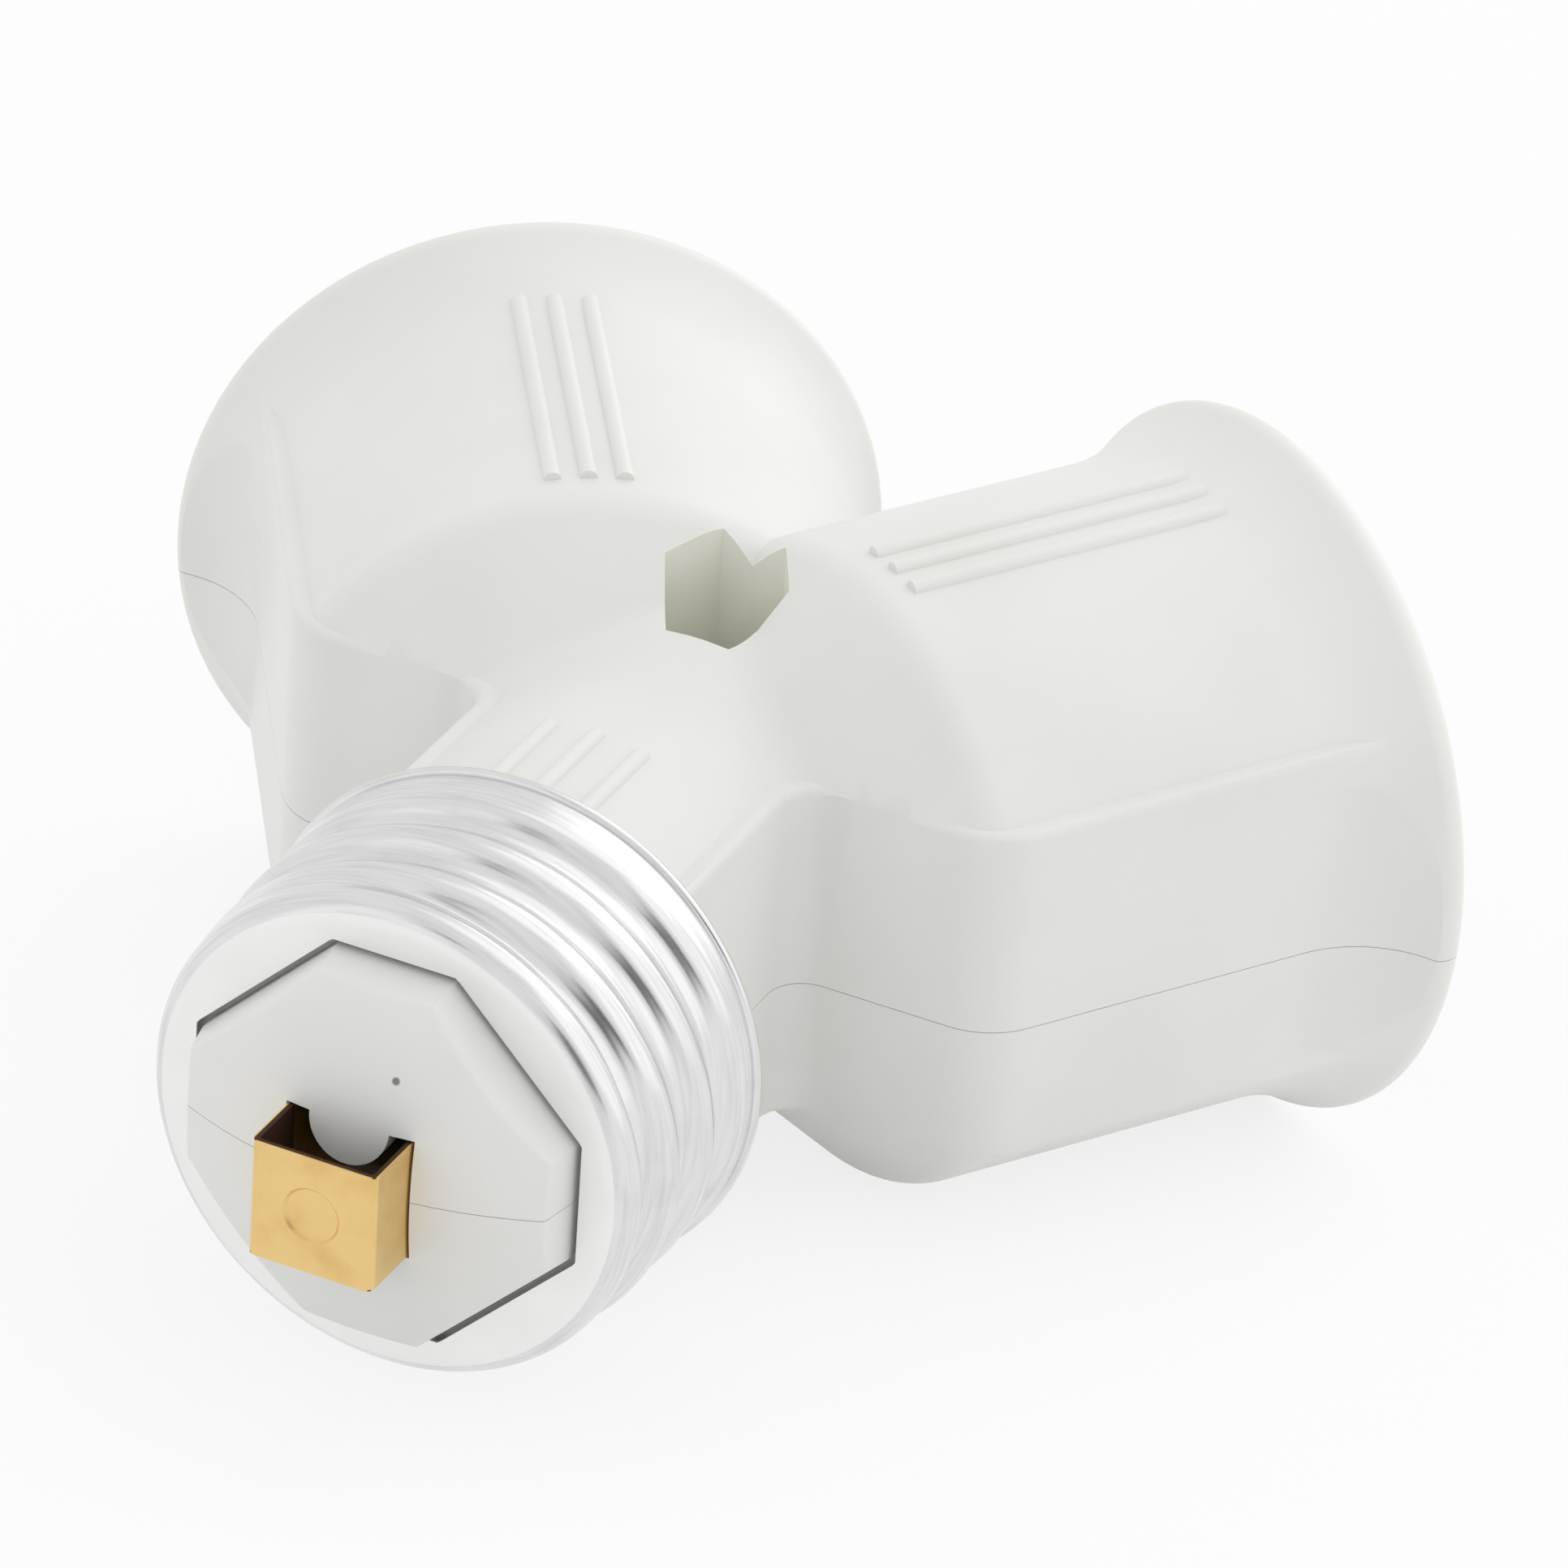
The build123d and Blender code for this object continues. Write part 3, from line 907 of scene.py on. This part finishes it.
@dataclass
class Contacts:
    """The folded strips and both springs, in brass."""

    frame: YFrame
    nodes: dict[str, bpy.types.Object]
    strip_finish: StampedBrass = StampedBrass(
        "stamped_brass_strip", (0.83, 0.60, 0.26, 1.0), (0.75, 0.50, 0.19, 1.0)
    )
    spring_finish: StampedBrass = StampedBrass(
        "spring_brass", (0.76, 0.54, 0.25, 1.0), (0.66, 0.43, 0.18, 1.0)
    )
    edge_round: float = 0.05
    edge_steps: int = 2
    edge_corner_deg: float = 40.0

    def round_edges(self, piece: bpy.types.Object) -> None:
        """Rounds a strip's cut edges a little.

        Args:
            piece: The strip.
        """
        bevel = piece.modifiers.new("rounded_edges", "BEVEL")
        bevel.width = self.edge_round * MM
        bevel.segments = self.edge_steps
        bevel.limit_method = "ANGLE"
        bevel.angle_limit = math.radians(self.edge_corner_deg)

    def build(self) -> list[bpy.types.Object]:
        """Makes copies with rounded edges of each brass piece.

        Returns:
            The strips and the springs.
        """
        strip = self.strip_finish.material(self.frame)
        spring = self.spring_finish.material(self.frame)
        plan = {
            "contact_strip": ("folded_contact_strip", strip, "adapter", "brass_strip"),
            "neutral_strip": ("folded_neutral_strip", strip, "adapter", "brass_strip"),
        }
        for side in Side:
            name, body = f"{side.value}_contact_tongue", f"{side.value}_spring"
            plan[f"{side.value}_contact_spring"] = (name, spring, body, "spring_brass")
        pieces = []
        for node, (name, material, body, slot) in plan.items():
            piece = smooth_copy(self.nodes[node], name)
            self.round_edges(piece)
            settle(piece, material, body, node)
            pieces.append(piece)
        return pieces


@dataclass
class Fasteners:
    """The housing screw and its nut."""

    nodes: dict[str, bpy.types.Object]
    finish: ZincSteel = ZincSteel()

    def build(self) -> list[bpy.types.Object]:
        """Makes smooth copies of the screw and the nut.

        Returns:
            Both pieces.
        """
        material = self.finish.material()
        pieces = []
        for node, name in (("housing_screw", "pan_head_screw"), ("housing_nut", "hex_nut")):
            piece = smooth_copy(self.nodes[node], name)
            settle(piece, material, "adapter", node)
            pieces.append(piece)
        return pieces


def stage_card(
    name: str, corners: list[Vector], material: bpy.types.Material
) -> bpy.types.Object:
    """Makes a flat four-cornered thing of the studio, which isn't part of the adapter.

    Args:
        name: Its name.
        corners: Its corners in turn, in metres.
        material: Its finish.

    Returns:
        The card.
    """
    mesh = bpy.data.meshes.new(name)
    mesh.from_pydata(corners, [], [(0, 1, 2, 3)])
    card = linked(name, mesh)
    dress(card, material)
    return card


@dataclass(frozen=True)
class Lamp:
    """A square soft lamp, by its place and side in metres and its power in watts."""

    name: str
    place: Triple
    side: float
    power: float

    def build(self, target: Vector) -> None:
        """Hangs the lamp so that it faces a target.

        Args:
            target: Point that it faces, in metres.
        """
        data = bpy.data.lights.new(self.name, "AREA")
        data.size = self.side
        data.energy = self.power
        place = Vector(self.place)
        lamp = bpy.data.objects.new(self.name, data)
        lamp.location = place
        lamp.rotation_euler = (target - place).to_track_quat("-Z", "Y").to_euler()
        bpy.context.scene.collection.objects.link(lamp)


@dataclass(frozen=True)
class DarkCard:
    """A dark card far off beside the camera, which the bright sheet mirrors in its grooves."""

    name: str
    way: Triple
    foot: float
    head: float
    height: float
    distance: float = 2.5
    colour: Colour = (0.03, 0.03, 0.03, 1.0)

    def build(self) -> bpy.types.Object:
        """Stands the card square to its way, as wide below as its foot and above as its head.

        Returns:
            The card.
        """
        facing = Vector(self.way).normalized()
        level = Vector((0, 0, 1)).cross(facing).normalized()
        rise = facing.cross(level) * (self.height / 2)
        below, above = level * (self.foot / 2), level * (self.head / 2)
        bottom, top = facing * self.distance - rise, facing * self.distance + rise
        material, graph = new_material(self.name)
        paint = graph.node("ShaderNodeBsdfDiffuse", {}, {"Color": self.colour})
        graph.node("ShaderNodeOutputMaterial", {}, {"Surface": paint.outputs[0]})
        corners = [bottom - below, bottom + below, top + above, top - above]
        return stage_card(self.name, corners, material)


@dataclass
class Studio:
    """Pale floor, soft lamps, dark cards and the camera at the photo's view."""

    azimuth_deg: float = 23.294
    elevation_deg: float = 26.489
    roll_deg: float = 6.41
    aim_mm: Triple = (5.916, 0.443, 22.075)
    distance_mm: float = 571.5
    focal_px: float = 14513.0
    sensor_mm: float = 36.0
    view_depth: float = 100.0
    floor_side: float = 6.0
    floor_colour: Colour = (0.92, 0.92, 0.92, 1.0)
    floor_glow: float = 0.8
    glow_strength: float = 1.0
    world_light: float = 0.81
    left_light: float = 0.12
    world_seen: float = 0.9
    lit_place: Triple = (0.0, 0.0, 0.018)
    lamps: tuple[Lamp, ...] = (
        Lamp("top_lamp", (0.25, 0.30, 0.90), side=0.9, power=0.85),
        Lamp("back_lamp", (0.28, 0.95, 0.48), side=1.0, power=1.8),
        Lamp("side_lamp", (0.88, 0.10, 0.50), side=1.1, power=1.2),
        Lamp("front_lamp", (-0.45, -0.85, 0.35), side=0.8, power=0.3),
    )
    cards: tuple[DarkCard, ...] = (
        DarkCard("wide_dark_card", (0.61, -0.76, 0.22), foot=1.5, head=0.3, height=1.1),
        DarkCard("small_dark_card", (-0.12, -0.78, 0.61), foot=0.5, head=0.5, height=0.4),
    )

    def camera(self) -> bpy.types.Object:
        """Sets the camera on a line to the aim point, turned about that line by the photo's roll.

        Returns:
            The camera.
        """
        azimuth, elevation = math.radians(self.azimuth_deg), math.radians(self.elevation_deg)
        away = Vector((math.sin(azimuth), -math.cos(azimuth), 0.0))
        back = away * math.cos(elevation) + Vector((0, 0, math.sin(elevation)))
        level = Vector((math.cos(azimuth), math.sin(azimuth), 0.0))
        rise = back.cross(level)
        roll = math.radians(self.roll_deg)
        right = level * math.cos(roll) + rise * math.sin(roll)
        up = back.cross(right)
        data = bpy.data.cameras.new("photo_camera")
        data.sensor_width = self.sensor_mm
        data.lens = self.focal_px * self.sensor_mm / PHOTO_SIDE_PX
        data.clip_end = self.view_depth
        camera = bpy.data.objects.new("photo_camera", data)
        bpy.context.scene.collection.objects.link(camera)
        place = Vector(self.aim_mm) * MM + back * (self.distance_mm * MM)
        turned = Matrix((right, up, back)).transposed().to_4x4()
        camera.matrix_world = Matrix.Translation(place) @ turned
        bpy.context.scene.camera = camera
        return camera

    @staticmethod
    def seen(graph: Graph) -> Value:
        """One for rays of the camera, of bright metal and of clear things, else nought.

        Args:
            graph: Graph that needs it.

        Returns:
            The share.
        """
        path = graph.node("ShaderNodeLightPath")
        rays = (Value(graph, path.outputs[f"Is {kind} Ray"]) for kind in RAYS_THAT_SEE)
        camera, glossy, clear = rays
        return camera.larger(glossy).larger(clear)

    def world(self) -> None:
        """Lights from all round, a little more from the left, behind a pale background."""
        world = bpy.data.worlds.new("studio_world")
        bpy.context.scene.world = world
        world.use_nodes = True
        graph = Graph(world.node_tree)
        ways = graph.node("ShaderNodeTexCoord").outputs["Generated"]
        across = graph.node("ShaderNodeSeparateXYZ", {}, {0: ways}).outputs[0]
        leftwards = (0.0 - Value(graph, across)).larger(0.0)
        light = self.world_light + self.left_light * leftwards
        strength = light.larger(self.world_seen * self.seen(graph))
        inputs = {"Color": WHITE, "Strength": strength}
        background = graph.node("ShaderNodeBackground", {}, inputs)
        graph.node("ShaderNodeOutputWorld", {}, {"Surface": background.outputs[0]})

    def floor(self) -> bpy.types.Object:
        """Lays a pale floor that looks nearly white and keeps the shadow.

        Returns:
            The floor.
        """
        half = self.floor_side / 2
        ways = ((-1, -1), (1, -1), (1, 1), (-1, 1))
        corners = [Vector((across * half, along * half, 0)) for across, along in ways]
        material, graph = new_material("pale_floor")
        paint = graph.node("ShaderNodeBsdfDiffuse", {}, {"Color": self.floor_colour})
        shine = {"Color": WHITE, "Strength": self.glow_strength}
        glow = graph.node("ShaderNodeEmission", {}, shine)
        share = self.seen(graph) * self.floor_glow
        inputs = {0: share, 1: paint.outputs[0], 2: glow.outputs[0]}
        mixed = graph.node("ShaderNodeMixShader", {}, inputs)
        graph.node("ShaderNodeOutputMaterial", {}, {"Surface": mixed.outputs[0]})
        return stage_card("pale_floor", corners, material)

    def build(self) -> None:
        """Sets the floor, the dark cards, the lamps, the world, the camera and the view."""
        self.floor()
        for card in self.cards:
            card.build()
        for lamp in self.lamps:
            lamp.build(Vector(self.lit_place))
        self.world()
        self.camera()
        bpy.context.scene.view_settings.view_transform = "Standard"


def main() -> None:
    """Builds every piece of the adapter and the studio around it, and logs each piece's face count.
    """
    logging.basicConfig(level=logging.INFO, format="%(name)s: %(message)s")
    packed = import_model()
    frame = YFrame.read(packed["record"])
    nodes = packed["nodes"]
    sheet = RolledSheet().material(frame)
    pieces = [ScrewCap(frame, sheet).build()]
    pieces += [SocketShell(frame, side, sheet).build() for side in Side]
    pieces += Housing(frame, nodes).build()
    pieces += Contacts(frame, nodes).build()
    pieces += Fasteners(nodes).build()
    for piece in pieces:
        LOG.info("%s: %d faces", piece.name, len(piece.data.polygons))
    Studio().build()


if __name__ == "__main__":
    main()
